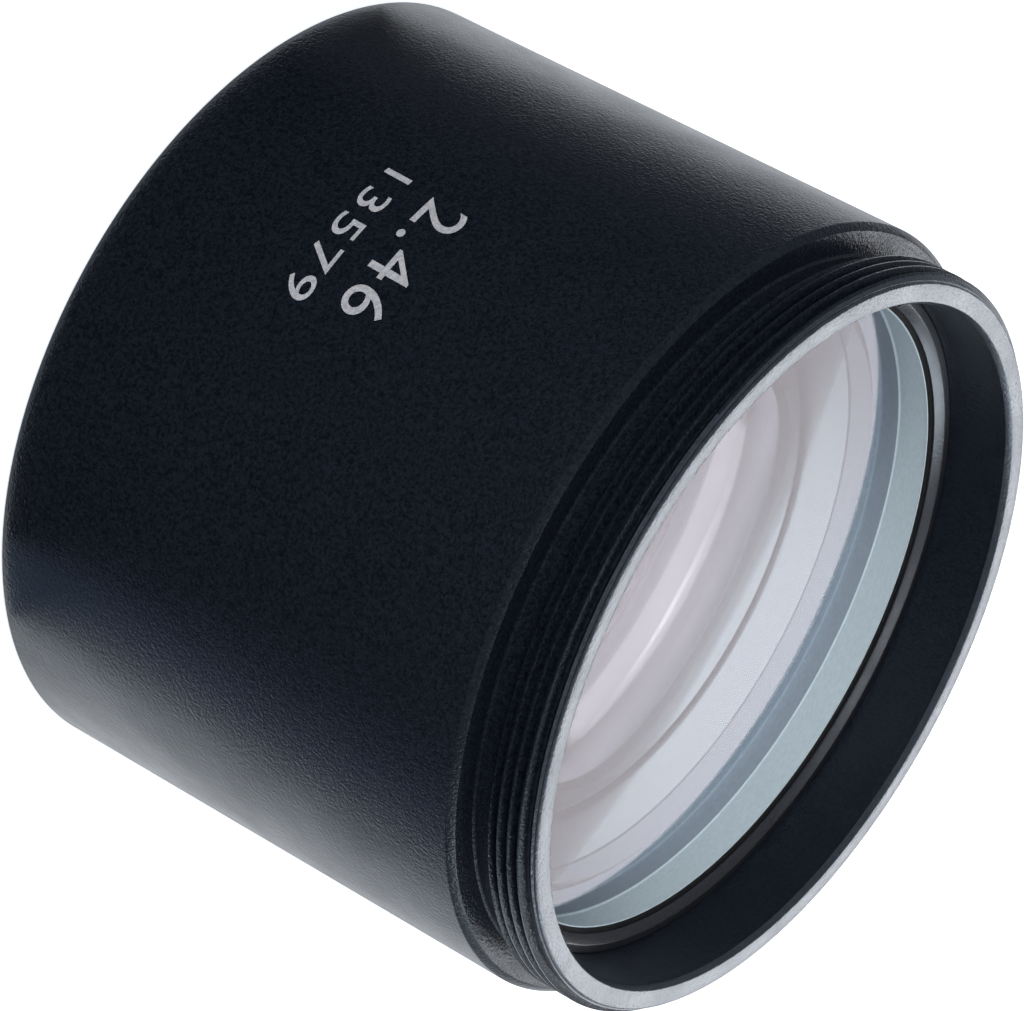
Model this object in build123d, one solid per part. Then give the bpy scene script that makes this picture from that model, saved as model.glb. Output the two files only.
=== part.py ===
from build123d import *
import math
import os

# Microscope objective of the screw-on reducing kind, in millimetres.
# +Z is the optical axis and points up to the microscope, and the origin is the
# centre of the flat lower end, on which the part stands.

# Barrel, outside
barrel_radius = 25.0
barrel_length = 34.7
barrel_top_chamfer = 0.4
barrel_bottom_chamfer = 0.15
neck_length = 5.0

# M48 x 0.75 thread on the neck, as its plain major cylinder
shoulder_width = 1.0
thread_lead_chamfer = 0.6
relief_depth = 1.0
relief_width = 1.65
relief_chamfer = 0.25
relief_corner_radius = 0.15

# Walls of the barrel, from which its bores follow
neck_wall = 2.0
barrel_wall = 2.4
mouth_chamfer_radial = 0.25
mouth_chamfer_axial = 0.35
lower_mouth_chamfer = 0.3

# Lip inside the barrel that both lens groups are built against. It reaches far
# in to the aperture stop, and its underside slopes so that its edge is thin.
seat_lip_reach = 7.03
seat_lip_thickness = 1.6
seat_lip_slope_reach = 4.1
stop_edge_height = 0.85

# Radial gap round what is slipped or screwed into a bore
slip_clearance = 0.03

# Upper retaining ring, with a thin lip over the glass and a skirt beside it,
# and the gap left below the skirt, where the wide bore ends
ring_depth = 4.45
ring_lip_thickness = 0.5
ring_lip_reach = 1.15
ring_bevel_radial = 0.6
ring_bevel_axial = 0.38
ring_skirt_wall = 0.64
ring_skirt_length = 2.3
ring_skirt_gap = 0.65

# Cushion washers between a ring and the glass
washer_thickness = 0.15
washer_width = 0.7

# Upper doublet, a biconcave element cemented to a meniscus.
# A curve is the radius of a polished face, and a land is the flat rim round it.
upper_top_curve = 1200.0
upper_cement_curve = 110.0
upper_back_curve = 102.0
upper_top_land = 0.8
upper_back_land = 0.9
biconcave_edge = 7.25
meniscus_edge = 3.85
glass_bevel = 0.15

# Lower doublet, a biconvex element cemented to a flat-edged concave one
lower_top_curve = 160.0
lower_cement_curve = 92.0
lower_front_curve = 300.0
lower_front_land = 1.37
lower_convex_edge = 2.7
lower_concave_edge = 6.0

# Lower retaining ring
lower_ring_recess = 1.6
lower_ring_thickness = 2.0
lower_ring_reach = 1.47
lower_ring_bevel = 0.7

# Spanner slots in both rings
slot_width = 1.6
slot_depth = 1.0
slot_reach = 0.95

# Spacer tube, bored a little wider between a land at each end
spacer_wall = 2.17
spacer_relief = 0.3
spacer_upper_land = 3.8
spacer_lower_land = 2.9

# Radii that follow from the sizes above, from the outside in
thread_radius = barrel_radius - shoulder_width
relief_radius = thread_radius - relief_depth
upper_bore_radius = thread_radius - neck_wall
upper_ring_outer = upper_bore_radius - slip_clearance
upper_ring_inner = upper_bore_radius - ring_lip_reach
upper_lens_bore = upper_ring_outer - ring_skirt_wall
upper_lens_radius = upper_lens_bore - slip_clearance
stop_radius = upper_lens_bore - seat_lip_reach
lower_bore_radius = barrel_radius - barrel_wall
lower_fit_radius = lower_bore_radius - slip_clearance
lower_ring_inner = lower_fit_radius - lower_ring_reach
spacer_inner = lower_fit_radius - spacer_wall

# Heights that follow, from the top down and from the bottom up
total_height = barrel_length + neck_length
ring_top = total_height - ring_depth
skirt_end = ring_top - ring_skirt_length
upper_bore_floor = skirt_end - ring_skirt_gap
washer_top = ring_top - ring_lip_thickness
upper_rim = washer_top - washer_thickness
upper_cement_rim = upper_rim - biconcave_edge
upper_seat = upper_cement_rim - meniscus_edge
lip_underside = upper_seat - seat_lip_thickness
lower_ring_top = lower_ring_recess + lower_ring_thickness
lower_rim = lower_ring_top + washer_thickness
lower_cement_rim = lower_rim + lower_concave_edge
lower_lens_top = lower_cement_rim + lower_convex_edge


def sag(curve, radius):
    """Height of a spherical cap of that curve radius, at that radius from its axis."""
    return curve - math.sqrt(curve * curve - radius * radius)


def outline_face(points):
    """Flat face on the XZ plane inside a closed outline of (radius, height) points."""
    return make_face(Polyline([(radius, 0, height) for radius, height in points], close=True))


def turned(points):
    """Solid of revolution of a closed outline."""
    return revolve(outline_face(points), Axis.Z)


def cap_arc(curve, radius, rim_height, side):
    """Meridian of a spherical face from its pole to its rim.
    side is +1 where the pole stands above the rim and -1 where it lies below."""
    def point(at):
        return (at, 0, rim_height + side * (sag(curve, radius) - sag(curve, at)))
    return ThreePointArc(point(0), point(radius / 2), point(radius))


def lens(top, outline, bottom):
    """Lens turned from its top arc, its edge points in order, and its bottom arc."""
    rim = [(radius, 0, height) for radius, height in outline]
    edges = [
        top,
        Polyline([top @ 1] + rim + [bottom @ 1]),
        bottom,
        Line(bottom @ 0, top @ 0),
    ]
    return revolve(make_face(edges), Axis.Z)


def spanner_slots(shape, face_height, inward, outer_radius):
    """Cuts two slots across a ring, opposite each other on the X axis."""
    for side in (-1, 1):
        centre = (side * (outer_radius - slot_reach / 2), 0, face_height + inward * slot_depth / 2)
        shape -= Pos(*centre) * Box(slot_reach + 2 * slip_clearance, slot_width, slot_depth)
    return shape


def make_barrel():
    """One turned piece: grip, shoulder, threaded neck, both bores and the seat lip."""
    top = total_height
    thread_end = barrel_length + relief_width
    outline = [
        (upper_bore_radius + mouth_chamfer_radial, top),
        (thread_radius - thread_lead_chamfer, top),
        (thread_radius, top - thread_lead_chamfer),
        (thread_radius, thread_end + relief_chamfer),
        (thread_radius - relief_chamfer, thread_end),
        (relief_radius, thread_end),
        (relief_radius, barrel_length),
        (barrel_radius - barrel_top_chamfer, barrel_length),
        (barrel_radius, barrel_length - barrel_top_chamfer),
        (barrel_radius, barrel_bottom_chamfer),
        (barrel_radius - barrel_bottom_chamfer, 0),
        (lower_bore_radius + lower_mouth_chamfer, 0),
        (lower_bore_radius, lower_mouth_chamfer),
        (lower_bore_radius, lip_underside),
        (stop_radius + seat_lip_slope_reach, lip_underside),
        (stop_radius, upper_seat - stop_edge_height),
        (stop_radius, upper_seat),
        (upper_lens_bore, upper_seat),
        (upper_lens_bore, upper_bore_floor),
        (upper_bore_radius, upper_bore_floor),
        (upper_bore_radius, top - mouth_chamfer_axial),
    ]
    section = outline_face(outline)
    neck_root = section.vertices().sort_by_distance((relief_radius, 0, barrel_length))[0]
    return revolve(fillet(neck_root, relief_corner_radius), Axis.Z)


def make_upper_ring():
    """Retaining ring, L-shaped in section: a bevelled lip and a skirt round the glass."""
    outline = [
        (upper_ring_inner + ring_bevel_radial, ring_top),
        (upper_ring_outer, ring_top),
        (upper_ring_outer, skirt_end),
        (upper_lens_bore, skirt_end),
        (upper_lens_bore, washer_top),
        (upper_ring_inner, washer_top),
        (upper_ring_inner, ring_top - ring_bevel_axial),
    ]
    return spanner_slots(turned(outline), ring_top, -1, upper_ring_outer)


def make_washer(outer_radius, low):
    """Thin black cushion washer between a ring and the ground rim of a lens."""
    high = low + washer_thickness
    inner = outer_radius - washer_width
    return turned([(inner, low), (outer_radius, low), (outer_radius, high), (inner, high)])


def make_upper_biconcave():
    """Upper element: all but flat on the microscope's side, hollow below."""
    r = upper_lens_radius
    top = cap_arc(upper_top_curve, r - upper_top_land, upper_rim, -1)
    bottom = cap_arc(upper_cement_curve, r - glass_bevel, upper_cement_rim, 1)
    rim = [
        (r - glass_bevel, upper_rim),
        (r, upper_rim - glass_bevel),
        (r, upper_cement_rim + glass_bevel),
    ]
    return lens(top, rim, bottom)


def make_upper_meniscus():
    """Lower element of the upper pair: its top fits the hollow, its back is hollow."""
    r = upper_lens_radius
    top = cap_arc(upper_cement_curve, r - glass_bevel, upper_cement_rim, 1)
    bottom = cap_arc(upper_back_curve, r - upper_back_land, upper_seat, 1)
    rim = [
        (r, upper_cement_rim - glass_bevel),
        (r, upper_seat + glass_bevel),
        (r - glass_bevel, upper_seat),
    ]
    return lens(top, rim, bottom)


def make_spacer():
    """Tube that sets the air gap, relieved in the middle of its bore."""
    wide = spacer_inner + spacer_relief
    low = lower_lens_top + spacer_lower_land
    high = lip_underside - spacer_upper_land
    return turned([
        (spacer_inner, lip_underside),
        (lower_fit_radius, lip_underside),
        (lower_fit_radius, lower_lens_top),
        (spacer_inner, lower_lens_top),
        (spacer_inner, low),
        (wide, low + spacer_relief),
        (wide, high - spacer_relief),
        (spacer_inner, high),
    ])


def make_lower_convex():
    """Upper element of the lower pair, domed on both sides."""
    r = lower_fit_radius
    top = cap_arc(lower_top_curve, spacer_inner, lower_lens_top, 1)
    bottom = cap_arc(lower_cement_curve, r - glass_bevel, lower_cement_rim, -1)
    rim = [
        (r - glass_bevel, lower_lens_top),
        (r, lower_lens_top - glass_bevel),
        (r, lower_cement_rim + glass_bevel),
    ]
    return lens(top, rim, bottom)


def make_lower_concave():
    """Lower element of the lower pair, hollow towards the specimen."""
    r = lower_fit_radius
    top = cap_arc(lower_cement_curve, r - glass_bevel, lower_cement_rim, -1)
    bottom = cap_arc(lower_front_curve, r - lower_front_land, lower_rim, 1)
    rim = [
        (r, lower_cement_rim - glass_bevel),
        (r, lower_rim + glass_bevel),
        (r - glass_bevel, lower_rim),
    ]
    return lens(top, rim, bottom)


def make_lower_ring():
    """Retaining ring at the specimen's end, with a bevelled mouth."""
    outline = [
        (lower_ring_inner, lower_ring_top),
        (lower_fit_radius, lower_ring_top),
        (lower_fit_radius, lower_ring_recess),
        (lower_ring_inner + lower_ring_bevel, lower_ring_recess),
        (lower_ring_inner, lower_ring_recess + lower_ring_bevel),
    ]
    return spanner_slots(turned(outline), lower_ring_recess, 1, lower_fit_radius)


pieces = {
    "barrel": make_barrel(),
    "upper_retaining_ring": make_upper_ring(),
    "upper_cushion_washer": make_washer(upper_lens_radius, upper_rim),
    "upper_biconcave_lens": make_upper_biconcave(),
    "upper_meniscus_lens": make_upper_meniscus(),
    "spacer_tube": make_spacer(),
    "lower_biconvex_lens": make_lower_convex(),
    "lower_concave_lens": make_lower_concave(),
    "lower_cushion_washer": make_washer(lower_fit_radius, lower_ring_top),
    "lower_retaining_ring": make_lower_ring(),
}

os.makedirs("parts", exist_ok=True)
for name, piece in pieces.items():
    export_step(piece, f"parts/{name}.step")
    print(name, round(piece.volume, 1), "mm3")
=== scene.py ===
import math

import bmesh
import bpy
from mathutils import Matrix, Vector


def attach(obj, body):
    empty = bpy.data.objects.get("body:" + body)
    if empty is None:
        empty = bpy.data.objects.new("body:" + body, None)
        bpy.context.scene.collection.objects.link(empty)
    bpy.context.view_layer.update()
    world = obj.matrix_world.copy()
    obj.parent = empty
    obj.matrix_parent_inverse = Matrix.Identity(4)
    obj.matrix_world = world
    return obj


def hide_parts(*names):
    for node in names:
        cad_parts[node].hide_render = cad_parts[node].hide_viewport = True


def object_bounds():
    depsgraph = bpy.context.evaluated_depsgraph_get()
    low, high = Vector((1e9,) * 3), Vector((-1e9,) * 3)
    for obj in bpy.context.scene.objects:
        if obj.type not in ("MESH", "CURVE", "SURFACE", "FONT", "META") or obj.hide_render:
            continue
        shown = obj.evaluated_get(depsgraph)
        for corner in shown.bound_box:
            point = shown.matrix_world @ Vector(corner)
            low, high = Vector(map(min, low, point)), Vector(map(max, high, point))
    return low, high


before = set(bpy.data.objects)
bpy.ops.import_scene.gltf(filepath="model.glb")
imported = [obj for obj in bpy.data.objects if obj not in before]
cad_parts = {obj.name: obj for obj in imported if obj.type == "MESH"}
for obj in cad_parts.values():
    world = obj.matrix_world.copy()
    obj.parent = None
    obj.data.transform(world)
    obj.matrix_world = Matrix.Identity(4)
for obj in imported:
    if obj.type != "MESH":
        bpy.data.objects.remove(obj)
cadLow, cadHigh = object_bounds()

print("frame loaded:", len(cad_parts), "nodes")

mm = 0.001
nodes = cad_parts
top = cadHigh.z / mm          # height of the threaded end, in mm
whole = 2 * math.pi
eighth = whole / 8
weld = 1e-7                   # metres within which two vertices become one


photoCamera = {
    "place": (0.000149, -0.294227, 0.179887),   # metres, in the part's frame
    "right": (-0.4724, 0.4234, 0.7731),
    "back": (0.0, -0.8771, 0.4803),
    "focalLength": 195.54,                      # on a 36 mm sensor
    "sensor": 36.0,
    "nearest": 0.01, "farthest": 20.0,          # metres
}


def newObject(name, data):
    holder = bpy.data.objects.new(name, data)
    bpy.context.scene.collection.objects.link(holder)
    return holder


def meshOf(name, bm):
    mesh = bpy.data.meshes.new(name)
    bm.to_mesh(mesh)
    bm.free()
    return mesh


def makeCamera(view):
    right = Vector(view["right"]).normalized()
    back = Vector(view["back"])
    back = (back - back.dot(right) * right).normalized()
    up = back.cross(right)
    camera = bpy.data.cameras.new("camera")
    camera.lens = view["focalLength"]
    camera.sensor_width = view["sensor"]
    camera.clip_start = view["nearest"]
    camera.clip_end = view["farthest"]
    holder = newObject("camera", camera)
    turn = Matrix((right, up, back)).transposed()
    holder.matrix_world = Matrix.Translation(Vector(view["place"])) @ turn.to_4x4()
    bpy.context.scene.camera = holder


makeCamera(photoCamera)


def newMaterial(name):
    material = bpy.data.materials.new(name)
    material.use_nodes = True
    material.node_tree.nodes.clear()
    return material, material.node_tree


def addNode(tree, kind, settings=None, **inputs):
    node = tree.nodes.new(kind)
    for key, value in (settings or {}).items():
        setattr(node, key, value)
    for key, value in inputs.items():
        node.inputs[key.replace("_", " ")].default_value = value
    return node


def setInputs(node, values):
    for key, value in values.items():
        node.inputs[key].default_value = value


def biggest(tree, *sockets):
    # the largest of several values, by a chain of Math nodes
    value = sockets[0]
    for socket in sockets[1:]:
        node = addNode(tree, "ShaderNodeMath", {"operation": "MAXIMUM"})
        tree.links.new(value, node.inputs[0])
        tree.links.new(socket, node.inputs[1])
        value = node.outputs[0]
    return value


studio = {
    "floorColour": (0.86, 0.87, 0.88, 1),
    "floorLift": 0.60,          # light added for what sees the floor directly, mirrored or through glass
    "liftColour": (0.88, 0.94, 1.0, 1),
    "floorSize": 3.0,
    "floorDrop": 0.02,          # mm below the part's lower end
    "aimHeight": 0.03,          # metres up, where every softbox looks
    "worldFill": (0.88, 0.92, 1.0, 1),
    "worldStrength": 0.20,
}
softboxes = [
    # name, direction it hangs in, distance, width, height, radiance, colour, shown in mirrors
    ("backSoftbox", (0.0, 0.877, 0.480), 0.75, 0.50, 0.36, 3.8, (1.0, 0.99, 1.0), True),
    ("frontSoftbox", (-0.10, -0.82, 0.57), 0.80, 0.50, 0.40, 7.9, (1.0, 0.99, 0.98), False),
    ("overheadSoftbox", (0.10, 0.05, 1.0), 0.90, 0.40, 0.40, 1.6, (0.97, 0.98, 1.0), True),
    ("sideSoftbox", (0.62, 0.50, 0.60), 0.80, 0.40, 0.36, 3.6, (0.90, 0.95, 1.0), True),
]
# Cards on the floor, which show only in reflections: the barrel's front mirrors the black one
# and its flanks the grey ones. Each runs from the barrel's foot out along the mirrored rays,
# which leave the foot at twice its angle, so that its edges show as lines along the barrel.
cards = [
    # name, angle round the barrel at which it starts and ends, colour
    ("warmCard", -66.0, -46.0, (0.12, 0.125, 0.135, 1)),
    ("blackCard", -46.0, 40.0, (0.018, 0.024, 0.038, 1)),
    ("blueCard", 40.0, 54.0, (0.28, 0.36, 0.50, 1)),
]
cardShape = {"inner": 25.2, "outer": 900.0, "height": 0.2, "step": 2.0}


def makeFloor(values):
    bm = bmesh.new()
    bmesh.ops.create_grid(bm, x_segments=1, y_segments=1, size=values["floorSize"])
    bmesh.ops.translate(bm, verts=bm.verts, vec=(0, 0, -values["floorDrop"] * mm))
    mesh = meshOf("floor", bm)
    material, tree = newMaterial("paleFloor")
    surface = addNode(tree, "ShaderNodeBsdfDiffuse", Color=values["floorColour"])
    path = addNode(tree, "ShaderNodeLightPath")
    seen = biggest(tree, path.outputs["Is Camera Ray"], path.outputs["Is Glossy Ray"],
                   path.outputs["Is Transmission Ray"])
    lift = addNode(tree, "ShaderNodeMath", {"operation": "MULTIPLY"})
    lift.inputs[1].default_value = values["floorLift"]
    glow = addNode(tree, "ShaderNodeEmission", Color=values["liftColour"])
    both = addNode(tree, "ShaderNodeAddShader")
    out = addNode(tree, "ShaderNodeOutputMaterial")
    link = tree.links.new
    link(seen, lift.inputs[0])
    link(lift.outputs[0], glow.inputs["Strength"])
    link(surface.outputs[0], both.inputs[0])
    link(glow.outputs[0], both.inputs[1])
    link(both.outputs[0], out.inputs["Surface"])
    mesh.materials.append(material)
    newObject("floor", mesh)


def makeCard(shape, name, first, last, colour):
    bm = bmesh.new()
    steps = round((last - first) / shape["step"])
    for r, turns in ((shape["inner"], 1), (shape["outer"], 2)):
        start = math.radians(first * turns)
        place = (r * mm * math.sin(start), -r * mm * math.cos(start), shape["height"] * mm)
        bmesh.ops.spin(bm, geom=[bm.verts.new(place)], cent=(0, 0, 0), axis=(0, 0, 1),
                       angle=math.radians((last - first) * turns), steps=steps, use_merge=False)
    bmesh.ops.bridge_loops(bm, edges=bm.edges[:])
    mesh = meshOf(name, bm)
    material, tree = newMaterial(name)
    surface = addNode(tree, "ShaderNodeBsdfDiffuse", Color=colour)
    out = addNode(tree, "ShaderNodeOutputMaterial")
    tree.links.new(surface.outputs[0], out.inputs["Surface"])
    mesh.materials.append(material)
    sheet = newObject(name, mesh)
    sheet.visible_camera = False
    sheet.visible_diffuse = False
    sheet.visible_transmission = False
    sheet.visible_shadow = False


def makeWorld(values):
    world = bpy.data.worlds.new("studioWorld")
    world.use_nodes = True
    tree = world.node_tree
    tree.nodes.clear()
    path = addNode(tree, "ShaderNodeLightPath")
    fill = addNode(tree, "ShaderNodeBackground",
                   Color=values["worldFill"], Strength=values["worldStrength"])
    white = addNode(tree, "ShaderNodeBackground", Color=(1, 1, 1, 1), Strength=1.0)
    mix = addNode(tree, "ShaderNodeMixShader")
    out = addNode(tree, "ShaderNodeOutputWorld")
    link = tree.links.new
    link(path.outputs["Is Camera Ray"], mix.inputs[0])
    link(fill.outputs[0], mix.inputs[1])
    link(white.outputs[0], mix.inputs[2])
    link(mix.outputs[0], out.inputs["Surface"])
    bpy.context.scene.world = world


def makeSoftbox(name, direction, distance, width, height, radiance, colour, mirrored):
    lamp = bpy.data.lights.new(name, "AREA")
    lamp.shape = "RECTANGLE"
    lamp.size = width
    lamp.size_y = height
    lamp.energy = radiance * math.pi * width * height
    lamp.color = colour
    holder = newObject(name, lamp)
    towards = Vector(direction).normalized()
    aim = Vector((0, 0, studio["aimHeight"]))
    turn = towards.to_track_quat("Z", "Y").to_matrix().to_4x4()
    holder.matrix_world = Matrix.Translation(aim + towards * distance) @ turn
    holder.visible_camera = False
    holder.visible_glossy = mirrored


makeWorld(studio)
makeFloor(studio)
for card in cards:
    makeCard(cardShape, *card)
for box in softboxes:
    makeSoftbox(*box)
bpy.context.scene.view_settings.view_transform = "Standard"
print("studio ready")


# how strongly the fine pits count beside the coarse ones, and which part of each texture's
# range is used, for the roughness and for the colour
grainMix = {"fineShare": 0.7, "cloudLow": 0.3, "cloudHigh": 0.7, "pitLow": 0.6, "pitHigh": 1.1}


def makeGrainGroup():
    # pits of a blasted surface, with slow clouds over them
    group = bpy.data.node_groups.new("blastedGrain", "ShaderNodeTree")
    face = group.interface
    for label in ("Grain Scale", "Coarse Scale", "Cloud Scale"):
        face.new_socket(name=label, in_out="INPUT", socket_type="NodeSocketFloat")
    face.new_socket(name="Height", in_out="OUTPUT", socket_type="NodeSocketFloat")
    face.new_socket(name="Clouds", in_out="OUTPUT", socket_type="NodeSocketFloat")
    inside = addNode(group, "NodeGroupInput")
    outside = addNode(group, "NodeGroupOutput")
    place = addNode(group, "ShaderNodeTexCoord")
    fine = addNode(group, "ShaderNodeTexNoise", Detail=1.0, Roughness=0.5)
    coarse = addNode(group, "ShaderNodeTexNoise", Detail=1.0, Roughness=0.5)
    clouds = addNode(group, "ShaderNodeTexNoise", Detail=3.0, Roughness=0.55)
    height = addNode(group, "ShaderNodeMath", {"operation": "MULTIPLY_ADD"})
    height.inputs[1].default_value = grainMix["fineShare"]
    link = group.links.new
    for texture, scale in ((fine, "Grain Scale"), (coarse, "Coarse Scale"), (clouds, "Cloud Scale")):
        link(place.outputs["Object"], texture.inputs["Vector"])
        link(inside.outputs[scale], texture.inputs["Scale"])
    link(fine.outputs["Fac"], height.inputs[0])
    link(coarse.outputs["Fac"], height.inputs[2])
    link(height.outputs[0], outside.inputs["Height"])
    link(clouds.outputs["Fac"], outside.inputs["Clouds"])
    return group


def makeDustGroup():
    # a few specks of dust, 1 in a speck and 0 elsewhere
    group = bpy.data.node_groups.new("fewSpecks", "ShaderNodeTree")
    face = group.interface
    for label in ("Cell Scale", "Speck Size", "Share"):
        face.new_socket(name=label, in_out="INPUT", socket_type="NodeSocketFloat")
    face.new_socket(name="Specks", in_out="OUTPUT", socket_type="NodeSocketFloat")
    inside = addNode(group, "NodeGroupInput")
    outside = addNode(group, "NodeGroupOutput")
    place = addNode(group, "ShaderNodeTexCoord")
    cells = addNode(group, "ShaderNodeTexVoronoi")
    near = addNode(group, "ShaderNodeMath", {"operation": "LESS_THAN"})
    split = addNode(group, "ShaderNodeSeparateColor")
    chosen = addNode(group, "ShaderNodeMath", {"operation": "LESS_THAN"})
    both = addNode(group, "ShaderNodeMath", {"operation": "MULTIPLY"})
    link = group.links.new
    link(place.outputs["Object"], cells.inputs["Vector"])
    link(inside.outputs["Cell Scale"], cells.inputs["Scale"])
    link(cells.outputs["Distance"], near.inputs[0])
    link(inside.outputs["Speck Size"], near.inputs[1])
    link(cells.outputs["Color"], split.inputs["Color"])
    link(split.outputs["Red"], chosen.inputs[0])
    link(inside.outputs["Share"], chosen.inputs[1])
    link(near.outputs[0], both.inputs[0])
    link(chosen.outputs[0], both.inputs[1])
    link(both.outputs[0], outside.inputs["Specks"])
    return group


grainGroup = makeGrainGroup()
dustGroup = makeDustGroup()


plainFinish = {"index": 1.5, "sheenTint": (1.0, 1.0, 1.0, 1)}       # for looks that don't say


def makeGrained(name, look):
    # any opaque finish with a grain: anodise, film, print and ground glass
    look = {**plainFinish, **look}
    material, tree = newMaterial(name)
    link = tree.links.new
    grain = addNode(tree, "ShaderNodeGroup", {"node_tree": grainGroup})
    setInputs(grain, {"Grain Scale": look["grain"], "Coarse Scale": look["coarse"],
                      "Cloud Scale": look["cloud"]})
    bump = addNode(tree, "ShaderNodeBump", Strength=1.0, Distance=look["depth"] * mm)
    rough = addNode(tree, "ShaderNodeMapRange")
    setInputs(rough, {"From Min": grainMix["cloudLow"], "From Max": grainMix["cloudHigh"],
                      "To Min": look["rough"][0], "To Max": look["rough"][1]})
    speckle = addNode(tree, "ShaderNodeMapRange")
    setInputs(speckle, {"From Min": grainMix["pitLow"], "From Max": grainMix["pitHigh"]})
    tint = addNode(tree, "ShaderNodeMix", {"data_type": "RGBA"})
    tint.inputs["A"].default_value = look["dark"]
    tint.inputs["B"].default_value = look["light"]
    shader = addNode(tree, "ShaderNodeBsdfPrincipled")
    setInputs(shader, {"IOR": look["index"], "Specular IOR Level": look["specular"],
                       "Specular Tint": look["sheenTint"]})
    out = addNode(tree, "ShaderNodeOutputMaterial")
    link(grain.outputs["Height"], bump.inputs["Height"])
    link(grain.outputs["Height"], speckle.inputs["Value"])
    link(grain.outputs["Clouds"], rough.inputs["Value"])
    link(speckle.outputs["Result"], tint.inputs["Factor"])
    link(tint.outputs["Result"], shader.inputs["Base Color"])
    link(rough.outputs["Result"], shader.inputs["Roughness"])
    link(bump.outputs["Normal"], shader.inputs["Normal"])
    link(shader.outputs[0], out.inputs["Surface"])
    return material


blastedBlack = makeGrained("blastedBlackAnodise", {
    "dark": (0.003, 0.004, 0.007, 1), "light": (0.009, 0.012, 0.019, 1),
    "grain": 7200.0, "coarse": 3600.0, "cloud": 240.0, "depth": 0.034,
    "rough": (0.30, 0.38), "specular": 0.45, "sheenTint": (0.75, 0.88, 1.0, 1),
})
endFaceBlack = makeGrained("endFaceBlackAnodise", {
    "dark": (0.006, 0.008, 0.013, 1), "light": (0.022, 0.027, 0.040, 1),
    "grain": 7200.0, "coarse": 3600.0, "cloud": 300.0, "depth": 0.024,
    "rough": (0.28, 0.36), "specular": 1.0, "index": 1.7, "sheenTint": (0.82, 0.91, 1.0, 1),
})
turnedBlack = makeGrained("turnedBlackAnodise", {
    "dark": (0.006, 0.006, 0.008, 1), "light": (0.020, 0.020, 0.024, 1),
    "grain": 9000.0, "coarse": 5200.0, "cloud": 400.0, "depth": 0.010,
    "rough": (0.26, 0.38), "specular": 1.0, "index": 1.6, "sheenTint": (0.85, 0.93, 1.0, 1),
})
blackFilm = makeGrained("mattBlackFilm", {
    "dark": (0.006, 0.006, 0.007, 1), "light": (0.016, 0.016, 0.018, 1),
    "grain": 12000.0, "coarse": 6000.0, "cloud": 500.0, "depth": 0.01,
    "rough": (0.6, 0.8), "specular": 0.4,
})
groundUpper = makeGrained("groundRimUpper", {
    "dark": (0.58, 0.70, 0.76, 1), "light": (0.66, 0.79, 0.85, 1),
    "grain": 9000.0, "coarse": 2600.0, "cloud": 300.0, "depth": 0.004,
    "rough": (0.8, 0.95), "specular": 0.2,
})
# the same ground glass as groundRimUpper, painted darker: painted shade on the rim of each pair's second
# element, which gets less light
groundInnerShaded = makeGrained("groundRimInnerPaintedShade", {
    "dark": (0.48, 0.58, 0.66, 1), "light": (0.56, 0.67, 0.75, 1),
    "grain": 9000.0, "coarse": 2600.0, "cloud": 300.0, "depth": 0.004,
    "rough": (0.8, 0.95), "specular": 0.2,
})
greyPrint = makeGrained("greyPrint", {
    "dark": (0.30, 0.31, 0.33, 1), "light": (0.44, 0.45, 0.48, 1),
    "grain": 8200.0, "coarse": 4000.0, "cloud": 240.0, "depth": 0.03,
    "rough": (0.5, 0.65), "specular": 0.5,
})


def makeTurnedAluminium(name, look):
    # bare metal with the fine rings that a lathe tool leaves
    material, tree = newMaterial(name)
    link = tree.links.new
    place = addNode(tree, "ShaderNodeTexCoord")
    rings = addNode(tree, "ShaderNodeTexWave", {"wave_type": "BANDS", "bands_direction": "Z"},
                    Scale=look["ringScale"], Distortion=0.0)
    uneven = addNode(tree, "ShaderNodeTexNoise", Scale=look["unevenScale"], Detail=2.0)
    tint = addNode(tree, "ShaderNodeMix", {"data_type": "RGBA"})
    tint.inputs["A"].default_value = look["dark"]
    tint.inputs["B"].default_value = look["light"]
    bump = addNode(tree, "ShaderNodeBump", Strength=1.0, Distance=look["depth"] * mm)
    shader = addNode(tree, "ShaderNodeBsdfPrincipled")
    setInputs(shader, {"Metallic": 1.0, "Roughness": look["rough"]})
    out = addNode(tree, "ShaderNodeOutputMaterial")
    link(place.outputs["Object"], rings.inputs["Vector"])
    link(place.outputs["Object"], uneven.inputs["Vector"])
    link(rings.outputs["Fac"], bump.inputs["Height"])
    link(uneven.outputs["Fac"], tint.inputs["Factor"])
    link(tint.outputs["Result"], shader.inputs["Base Color"])
    link(bump.outputs["Normal"], shader.inputs["Normal"])
    link(shader.outputs[0], out.inputs["Surface"])
    return material


bareAluminium = makeTurnedAluminium("bareAluminium", {
    "dark": (0.62, 0.61, 0.66, 1), "light": (0.74, 0.73, 0.79, 1),
    "ringScale": 1500.0, "unevenScale": 300.0, "depth": 0.002, "rough": 0.42,
})


dustLook = {"size": 0.05, "roughness": 0.5}         # size of a speck as a share of its cell


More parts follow.
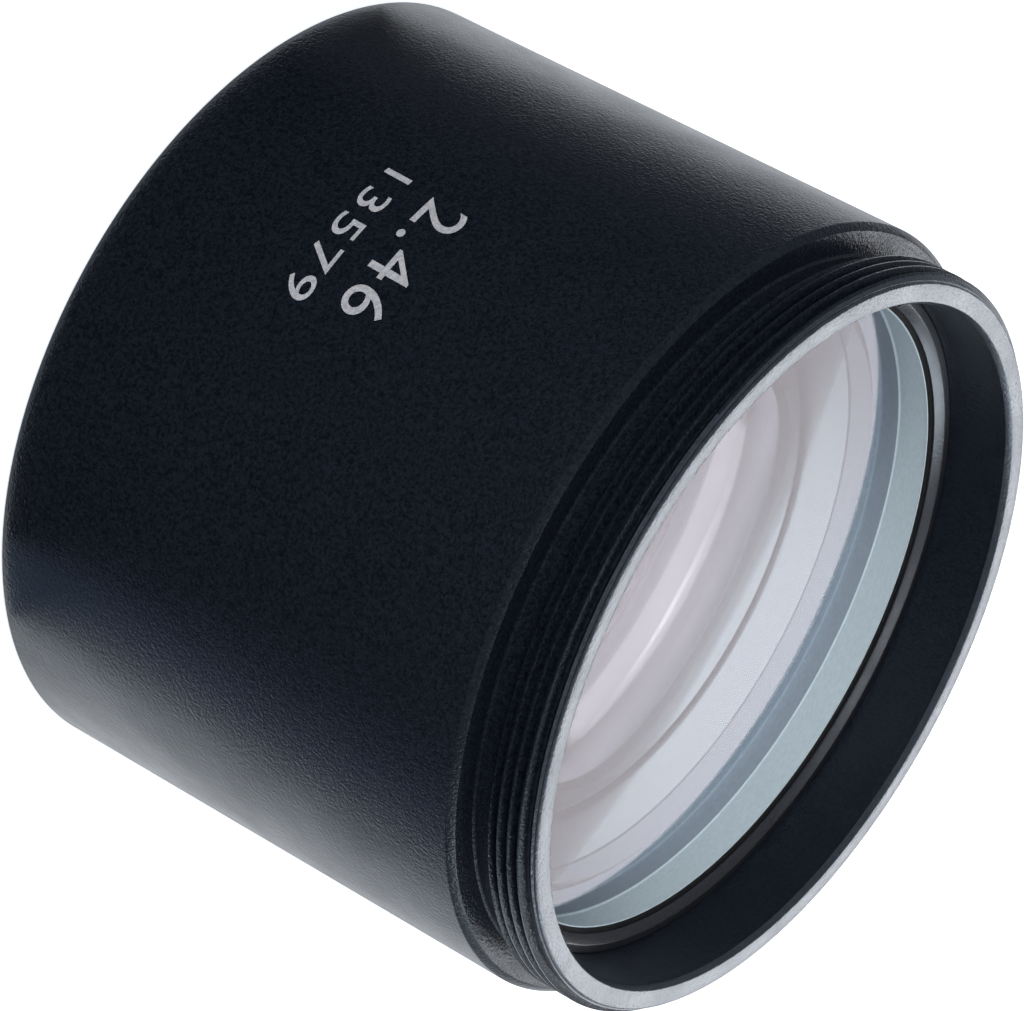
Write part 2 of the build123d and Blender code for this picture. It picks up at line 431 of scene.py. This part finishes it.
def makeGlass(name, look):
    # Lamps and scattered light go straight through, so that they reach what lies behind.
    material, tree = newMaterial(name)
    link = tree.links.new
    dust = addNode(tree, "ShaderNodeGroup", {"node_tree": dustGroup})
    setInputs(dust, {"Cell Scale": look["cells"], "Speck Size": dustLook["size"],
                     "Share": look["share"]})
    rough = addNode(tree, "ShaderNodeMapRange")
    setInputs(rough, {"To Min": look["haze"], "To Max": dustLook["roughness"]})
    shader = addNode(tree, "ShaderNodeBsdfPrincipled")
    setInputs(shader, {"Base Color": look["tint"], "IOR": look["index"], "Transmission Weight": 1.0,
                       "Specular IOR Level": look["specular"], "Specular Tint": look["coating"]})
    path = addNode(tree, "ShaderNodeLightPath")
    passing = biggest(tree, path.outputs["Is Shadow Ray"], path.outputs["Is Diffuse Ray"])
    clear = addNode(tree, "ShaderNodeBsdfTransparent", Color=look["tint"])
    mix = addNode(tree, "ShaderNodeMixShader")
    out = addNode(tree, "ShaderNodeOutputMaterial")
    link(dust.outputs["Specks"], rough.inputs["Value"])
    link(rough.outputs["Result"], shader.inputs["Roughness"])
    link(passing, mix.inputs[0])
    link(shader.outputs[0], mix.inputs[1])
    link(clear.outputs[0], mix.inputs[2])
    link(mix.outputs[0], out.inputs["Surface"])
    return material


topGlass = makeGlass("coatedTopGlass", {
    "tint": (0.985, 0.975, 0.985, 1), "index": 1.52, "specular": 0.5,
    "coating": (0.18, 0.06, 0.16, 1), "cells": 700.0, "share": 0.10, "haze": 0.055,
})
innerGlass = makeGlass("coatedInnerGlass", {
    "tint": (0.98, 0.97, 0.99, 1), "index": 1.52, "specular": 0.5,
    "coating": (0.14, 0.08, 0.20, 1), "cells": 500.0, "share": 0.05, "haze": 0.03,
})
cementFace = makeGlass("cementFace", {
    "tint": (0.86, 0.86, 0.87, 1), "index": 1.52, "specular": 0.5,
    "coating": (0.0, 0.0, 0.0, 1), "cells": 400.0, "share": 0.0, "haze": 0.0,
})
print("materials ready")


def finalMesh(holder):
    # a mesh of what a text or an object with a modifier shows
    bpy.context.view_layer.update()
    shown = holder.evaluated_get(bpy.context.evaluated_depsgraph_get())
    return bpy.data.meshes.new_from_object(shown)


def addShape(bm, mesh):
    # adds a mesh that isn't needed any more to bm
    bm.from_mesh(mesh)
    bpy.data.meshes.remove(mesh)


def ringEdges(bm, angle):
    return [e for e in bm.edges if len(e.link_faces) == 2 and e.calc_face_angle() > angle]


def turnCopies(bm, doublings, angle, lift=0.0):
    # doubles what is there again and again, each copy turned and lifted on from the last
    for i in range(doublings):
        copy = bmesh.ops.duplicate(bm, geom=bm.verts[:] + bm.edges[:] + bm.faces[:])["geom"]
        verts = [part for part in copy if isinstance(part, bmesh.types.BMVert)]
        bmesh.ops.rotate(bm, verts=verts, cent=(0, 0, 0), matrix=Matrix.Rotation(angle, 3, "Z"))
        bmesh.ops.translate(bm, verts=verts, vec=(0, 0, lift))
        angle *= 2
        lift *= 2
    bmesh.ops.remove_doubles(bm, verts=bm.verts, dist=weld)


def spinOutline(outline, steps, closed=True):
    # turns (radius, height) points in mm round the Z axis: an eighth by spin, the rest by copies
    bm = bmesh.new()
    verts = [bm.verts.new((r * mm, 0, z * mm)) for r, z in outline]
    pairs = list(zip(verts, verts[1:]))
    if closed:
        pairs.append((verts[-1], verts[0]))
    edges = [bm.edges.new(pair) for pair in pairs]
    bmesh.ops.spin(bm, geom=verts + edges, cent=(0, 0, 0), axis=(0, 0, 1), angle=eighth,
                   steps=steps // 8, use_merge=False)
    turnCopies(bm, 3, eighth)       # doubled three times, an eighth makes the whole
    bmesh.ops.recalc_face_normals(bm, faces=bm.faces)
    return bm


def roundRings(bm, width, segments=2, angle=0.3):
    bmesh.ops.bevel(bm, geom=ringEdges(bm, angle), offset=width * mm, segments=segments,
                    profile=0.5, affect="EDGES", material=-1, offset_type="OFFSET", clamp_overlap=True)


def finishPiece(name, bm, materials, replaced=(), sharpAngle=0.6):
    mesh = meshOf(name, bm)
    for face in mesh.polygons:
        face.use_smooth = True
    mesh.set_sharp_from_angle(angle=sharpAngle)
    for each in materials:
        mesh.materials.append(each)
    piece = newObject(name, mesh)
    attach(piece, "root")
    if replaced:
        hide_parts(*replaced)
    print(name, "with", len(mesh.polygons), "faces")


barrel = {
    "radius": 25.0, "shoulder": 34.7, "topChamfer": 0.4, "bottomChamfer": 0.15,
    "threadRadius": 24.0, "rootRadius": 23.54, "pitch": 0.75, "threadEnd": 36.35,
    "leadChamfer": 0.6, "endChamfer": 0.25, "leadCut": 0.17,
    "crestFlat": 0.05, "crestRound": 0.02, "roundDepth": 0.04, "rootGap": 0.09, "rootSunk": 0.04,
    "coreSunk": 0.01,           # how far the turned core lies inside the thread's root
    "crestHeight": 37.9,        # height of one crest at the front
    "turnsBelow": 3, "doublings": 5,    # whole turns below that crest, and of the first quarter turn
    "cutMatch": 1e-8,           # metres within which a vertex lies on the plane of a cut
    "reliefRadius": 23.0, "reliefCorner": 0.15,
    "boreRadius": 22.0, "mouthRadial": 0.25, "mouthAxial": 0.35, "boreFloor": 32.3,
    "lensBore": 21.33, "seat": 23.5, "stopRadius": 14.3, "stopEdge": 0.85,
    "slopeEnd": 18.4, "lipUnderside": 21.9,
    "lowerBore": 22.6, "lowerMouth": 0.3,
    "rounding": 0.05, "steps": 360, "threadSteps": 300,
    "facingUp": 0.3,            # least upward part of the normal of a face that counts as end face
}


def barrelBody(b):
    core = b["rootRadius"] - b["coreSunk"]
    faceEdge = b["threadRadius"] - b["leadChamfer"]
    outline = [
        (b["boreRadius"] + b["mouthRadial"], top),
        (faceEdge, top),
        (core, top - (core - faceEdge)),
        (core, b["threadEnd"]),
        (b["reliefRadius"], b["threadEnd"]),
        (b["reliefRadius"], b["shoulder"] + b["reliefCorner"]),
        (b["reliefRadius"] + b["reliefCorner"], b["shoulder"]),
        (b["radius"] - b["topChamfer"], b["shoulder"]),
        (b["radius"], b["shoulder"] - b["topChamfer"]),
        (b["radius"], b["bottomChamfer"]),
        (b["radius"] - b["bottomChamfer"], 0),
        (b["lowerBore"] + b["lowerMouth"], 0),
        (b["lowerBore"], b["lowerMouth"]),
        (b["lowerBore"], b["lipUnderside"]),
        (b["slopeEnd"], b["lipUnderside"]),
        (b["stopRadius"], b["seat"] - b["stopEdge"]),
        (b["stopRadius"], b["seat"]),
        (b["lensBore"], b["seat"]),
        (b["lensBore"], b["boreFloor"]),
        (b["boreRadius"], b["boreFloor"]),
        (b["boreRadius"], top - b["mouthAxial"]),
    ]
    bm = spinOutline(outline, b["steps"])
    roundRings(bm, b["rounding"])
    return bm


def addThread(bm, b):
    # a helical ridge wound with the spin tool, then cut off at both ends of the thread
    pitch = b["pitch"]
    crest = b["crestFlat"]
    upperHalf = [
        (b["threadRadius"], crest),
        (b["threadRadius"] - b["roundDepth"], crest + b["crestRound"]),
        (b["rootRadius"], pitch / 2 - b["rootGap"]),
        (b["rootRadius"] - b["rootSunk"], pitch / 2 - b["rootGap"]),
    ]
    section = [(r, -z) for r, z in upperHalf[::-1]] + upperHalf
    start = b["crestHeight"] - b["turnsBelow"] * pitch
    thread = bmesh.new()
    verts = [thread.verts.new((0, -r * mm, (start + z) * mm)) for r, z in section]
    edges = [thread.edges.new(pair) for pair in zip(verts, verts[1:] + verts[:1])]
    bmesh.ops.spin(thread, geom=verts + edges, cent=(0, 0, 0), axis=(0, 0, 1), angle=whole / 4,
                   dvec=(0, 0, pitch * mm / b["threadSteps"]), steps=b["threadSteps"] // 4,
                   use_merge=False)
    turnCopies(thread, b["doublings"], whole / 4, pitch * mm / 4)
    for vert in thread.verts:
        r = math.hypot(vert.co.x, vert.co.y) / mm
        z = vert.co.z / mm
        limit = min(b["threadRadius"], b["threadRadius"] - b["leadChamfer"] + top - z,
                    b["threadRadius"] - b["endChamfer"] + z - b["threadEnd"])
        limit = max(limit, b["rootRadius"] - b["rounding"])
        if r > limit:
            vert.co.x *= limit / r
            vert.co.y *= limit / r
    for height, side in ((top - b["leadCut"], 1), (b["threadEnd"], -1)):
        bmesh.ops.bisect_plane(thread, geom=thread.verts[:] + thread.edges[:] + thread.faces[:],
                               plane_co=(0, 0, height * mm), plane_no=(0, 0, side),
                               clear_outer=True, dist=b["cutMatch"])
        rim = [e for e in thread.edges if e.is_boundary]
        bmesh.ops.holes_fill(thread, edges=rim, sides=0)
    bmesh.ops.recalc_face_normals(thread, faces=thread.faces)
    addShape(bm, meshOf("threadOnly", thread))


barrelMesh = barrelBody(barrel)
addThread(barrelMesh, barrel)
mouthStart = (top - barrel["mouthAxial"]) * mm
for face in barrelMesh.faces:       # the end face and its inner chamfer have a finish of their own
    if face.calc_center_median().z > mouthStart and face.normal.z > barrel["facingUp"]:
        face.material_index = 1
finishPiece("barrelBody", barrelMesh, [blastedBlack, endFaceBlack], ["barrel"])


ringSteps = 360
upperRing = {"outer": 21.97, "inner": 20.85, "top": 35.25, "lip": 0.5,
             "bevelRadial": 0.6, "bevelAxial": 0.38,
             "skirtEnd": 32.95, "skirtInner": 21.33, "rounding": 0.05}
lowerRing = {"outer": 22.57, "inner": 21.1, "top": 3.6, "bottom": 1.6, "bevel": 0.7, "rounding": 0.04}
ringSlots = {"width": 1.6, "depth": 1.0, "reach": 0.95, "past": 0.05}


def cutSlots(bm, ring, face, slots):
    # two spanner slots across the ring, cut by boxes centred on its face
    cutters = bmesh.new()
    across = slots["reach"] + 2 * slots["past"]
    deep = 2 * slots["depth"]
    middle = ring["outer"] - slots["reach"] / 2
    for side in (-1, 1):
        box = bmesh.ops.create_cube(cutters, size=1.0)["verts"]
        bmesh.ops.scale(cutters, verts=box, vec=(across * mm, slots["width"] * mm, deep * mm))
        bmesh.ops.translate(cutters, verts=box, vec=(side * middle * mm, 0, face * mm))
    blank = newObject("ringBlank", meshOf("ringBlank", bm))
    cutter = newObject("slotCutters", meshOf("slotCutters", cutters))
    cut = blank.modifiers.new("slots", "BOOLEAN")
    cut.operation = "DIFFERENCE"
    cut.solver = "EXACT"
    cut.object = cutter
    slotted = bmesh.new()
    addShape(slotted, finalMesh(blank))
    for holder in (blank, cutter):
        mesh = holder.data
        bpy.data.objects.remove(holder)
        bpy.data.meshes.remove(mesh)
    return slotted


def makeUpperRing(r):
    bm = spinOutline([
        (r["inner"] + r["bevelRadial"], r["top"]), (r["outer"], r["top"]), (r["outer"], r["skirtEnd"]),
        (r["skirtInner"], r["skirtEnd"]), (r["skirtInner"], r["top"] - r["lip"]),
        (r["inner"], r["top"] - r["lip"]), (r["inner"], r["top"] - r["bevelAxial"]),
    ], ringSteps)
    roundRings(bm, r["rounding"], segments=3)
    bm = cutSlots(bm, r, r["top"], ringSlots)
    finishPiece("upperRing", bm, [turnedBlack], ["upper_retaining_ring"])


def makeLowerRing(r):
    bm = spinOutline([
        (r["inner"], r["top"]), (r["outer"], r["top"]), (r["outer"], r["bottom"]),
        (r["inner"] + r["bevel"], r["bottom"]), (r["inner"], r["bottom"] + r["bevel"]),
    ], ringSteps)
    roundRings(bm, r["rounding"])
    bm = cutSlots(bm, r, r["bottom"], ringSlots)
    finishPiece("lowerRing", bm, [turnedBlack], ["lower_retaining_ring"])


makeUpperRing(upperRing)
makeLowerRing(lowerRing)


spacer = {"outer": 22.57, "inner": 20.4, "relief": 0.3, "top": 21.9, "bottom": 12.45,
          "upperLand": 3.8, "lowerLand": 2.9, "rounding": 0.04}


def makeSpacer(s):
    low = s["bottom"] + s["lowerLand"]
    high = s["top"] - s["upperLand"]
    wide = s["inner"] + s["relief"]
    bm = spinOutline([
        (s["inner"], s["top"]), (s["outer"], s["top"]), (s["outer"], s["bottom"]),
        (s["inner"], s["bottom"]), (s["inner"], low), (wide, low + s["relief"]),
        (wide, high - s["relief"]), (s["inner"], high),
    ], ringSteps)
    roundRings(bm, s["rounding"])
    finishPiece("spacerTube", bm, [bareAluminium], ["spacer_tube"])


makeSpacer(spacer)


upperPair = {
    "radius": 21.3, "rim": 34.6, "cementRim": 27.35, "seat": 23.51,
    "topCurve": 1200.0, "cementCurve": 110.0, "backCurve": 102.0,
    "topClear": 20.5, "backClear": 20.4,
}
lowerPair = {
    "radius": 22.57, "rim": 12.44, "cementRim": 9.75, "seat": 3.76,
    "topCurve": 160.0, "cementCurve": 92.0, "backCurve": 300.0,
    "topClear": 20.4, "backClear": 21.2,
}
lensShape = {"rows": 36, "steps": 360, "bevel": 0.15, "sharpAngle": 0.3,
             "cementLap": 0.01,         # the lower element starts just inside the upper one
             "capMatch": 0.02}          # a face this close to a polished curve belongs to it


def sag(curve, radius):
    return curve - math.sqrt(curve * curve - radius * radius)


def capPoints(curve, radius, rim, side):
    # from the pole out to the rim; side is +1 where the pole stands above the rim
    count = lensShape["rows"]
    return [(radius * i / count, rim + side * (sag(curve, radius) - sag(curve, radius * i / count)))
            for i in range(count + 1)]


def onCap(cap, r, z):
    if r > cap[-1][0]:
        return False
    for (r0, z0), (r1, z1) in zip(cap, cap[1:]):
        if r0 <= r <= r1:
            return abs(z - z0 - (z1 - z0) * (r - r0) / (r1 - r0)) < lensShape["capMatch"]
    return False


def makeLens(name, topCap, rim, bottomCap, materials, replaced):
    # materials are for the upper face, the ground rim and the lower face
    bm = spinOutline(topCap + rim + bottomCap[::-1], lensShape["steps"], closed=False)
    for face in bm.faces:
        centre = face.calc_center_median()
        r = math.hypot(centre.x, centre.y) / mm
        z = centre.z / mm
        face.material_index = 0 if onCap(topCap, r, z) else 2 if onCap(bottomCap, r, z) else 1
    finishPiece(name, bm, materials, replaced, lensShape["sharpAngle"])


def makeUpperPair(p):
    r = p["radius"]
    bevel = lensShape["bevel"]
    lap = lensShape["cementLap"]
    makeLens("upperBiconcave",
             capPoints(p["topCurve"], p["topClear"], p["rim"], -1),
             [(r - bevel, p["rim"]), (r, p["rim"] - bevel), (r, p["cementRim"] + bevel)],
             capPoints(p["cementCurve"], r - bevel, p["cementRim"], 1),
             [topGlass, groundUpper, cementFace], ["upper_biconcave_lens"])
    makeLens("upperMeniscus",
             capPoints(p["cementCurve"], r - bevel, p["cementRim"] + lap, 1),
             [(r, p["cementRim"] - bevel), (r, p["seat"] + bevel), (r - bevel, p["seat"])],
             capPoints(p["backCurve"], p["backClear"], p["seat"], 1),
             [cementFace, groundInnerShaded, innerGlass], ["upper_meniscus_lens"])


def makeLowerPair(p):
    r = p["radius"]
    bevel = lensShape["bevel"]
    lap = lensShape["cementLap"]
    makeLens("lowerBiconvex",
             capPoints(p["topCurve"], p["topClear"], p["rim"], 1),
             [(r - bevel, p["rim"]), (r, p["rim"] - bevel), (r, p["cementRim"] + bevel)],
             capPoints(p["cementCurve"], r - bevel, p["cementRim"], -1),
             [innerGlass, groundUpper, cementFace], ["lower_biconvex_lens"])
    makeLens("lowerConcave",
             capPoints(p["cementCurve"], r - bevel, p["cementRim"] + lap, -1),
             [(r, p["cementRim"] - bevel), (r, p["seat"] + bevel), (r - bevel, p["seat"])],
             capPoints(p["backCurve"], p["backClear"], p["seat"], 1),
             [cementFace, groundInnerShaded, innerGlass], ["lower_concave_lens"])


makeUpperPair(upperPair)
makeLowerPair(lowerPair)


# plain figures, printed round the barrel, upright with the thread on top
figureRows = [
    # angle round the barrel where a row starts, and its width, height and foot in mm
    {"text": "2.46", "from": -32.0, "width": 8.9, "height": 3.0, "foot": 16.30, "spacing": 1.14},
    {"text": "13579", "from": -33.0, "width": 10.0, "height": 1.93, "foot": 12.60, "spacing": 1.10},
]
figures = {"radius": 25.0, "sunk": 0.015, "proud": 0.012, "tilt": 1.9,
           "thickness": 0.5, "curveSteps": 6, "strip": 0.3, "same": 1e-6, "merge": 0.002}


def makeFigureRow(row, values):
    words = bpy.data.curves.new("figures", "FONT")
    words.body = row["text"]
    words.size = 1.0
    words.space_character = row["spacing"]
    words.extrude = values["thickness"]      # only tells front from back, until the row is bent
    words.resolution_u = values["curveSteps"]
    holder = newObject("figures", words)
    bm = bmesh.new()
    addShape(bm, finalMesh(holder))
    bpy.data.objects.remove(holder)
    bpy.data.curves.remove(words)
    bmesh.ops.remove_doubles(bm, verts=bm.verts, dist=values["same"])
    left = min(v.co.x for v in bm.verts)
    right = max(v.co.x for v in bm.verts)
    low = min(v.co.y for v in bm.verts)
    high = max(v.co.y for v in bm.verts)
    bmesh.ops.translate(bm, verts=bm.verts, vec=(-left, -low, 0))
    bmesh.ops.scale(bm, verts=bm.verts,
                    vec=(row["width"] / (right - left), row["height"] / (high - low), 1))
    for i in range(1, int(row["width"] / values["strip"])):
        bmesh.ops.bisect_plane(bm, geom=bm.verts[:] + bm.edges[:] + bm.faces[:],
                               plane_co=(i * values["strip"], 0, 0), plane_no=(1, 0, 0),
                               dist=values["same"])
    bmesh.ops.remove_doubles(bm, verts=bm.verts, dist=values["merge"])
    bmesh.ops.dissolve_degenerate(bm, edges=bm.edges, dist=values["merge"])
    tilt = math.radians(values["tilt"])
    for vert in bm.verts:
        u, v, depth = vert.co
        along = u * math.cos(tilt) + v * math.sin(tilt)
        r = values["radius"] + (values["proud"] if depth > 0 else -values["sunk"])
        angle = math.radians(row["from"]) + along / values["radius"]
        height = row["foot"] + v * math.cos(tilt) - u * math.sin(tilt)
        vert.co = (r * mm * math.sin(angle), -r * mm * math.cos(angle), height * mm)
    return bm


def makeFigures(rows, values):
    bm = bmesh.new()
    for row in rows:
        addShape(bm, meshOf("figureRow", makeFigureRow(row, values)))
    bmesh.ops.recalc_face_normals(bm, faces=bm.faces)
    finishPiece("printedFigures", bm, [greyPrint])


makeFigures(figureRows, figures)


# the two washers keep their own solids
for node in ("upper_cushion_washer", "lower_cushion_washer"):
    mesh = nodes[node].data
    mesh.materials.clear()
    mesh.materials.append(blackFilm)
